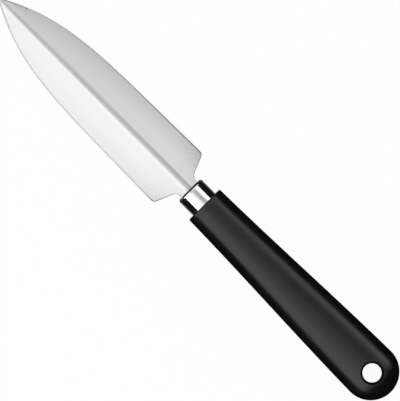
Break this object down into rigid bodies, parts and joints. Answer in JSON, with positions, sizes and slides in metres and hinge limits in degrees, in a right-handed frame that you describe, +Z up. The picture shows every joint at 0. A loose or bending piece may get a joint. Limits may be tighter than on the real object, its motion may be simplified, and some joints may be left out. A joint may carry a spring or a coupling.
{
  "type": "decorating knife",
  "caption": "Kitchen decorating knife with a V-folded double-edged steel blade, a polished ferrule and a black moulded handle with a hanging hole, for zigzag cuts in fruit.",
  "frame": {"origin": "on the surface that the knife lies on, below the middle of its length and width", "axes": "+X along the knife from the butt to the tip, +Z up on the side of the blade's ridge, +Y to the left of the blade seen from behind the butt"},
  "size_m": [0.25, 0.0314, 0.0165],
  "materials": {
    "blade_steel": "satin ground stainless steel sheet",
    "ferrule_steel": "mirror polished stainless steel",
    "handle_plastic": "satin moulded polypropylene, black"
  },
  "bodies": {
    "root": {"blade": "blade_steel", "ferrule": "ferrule_steel", "handle": "handle_plastic"}
  },
  "joints": []
}
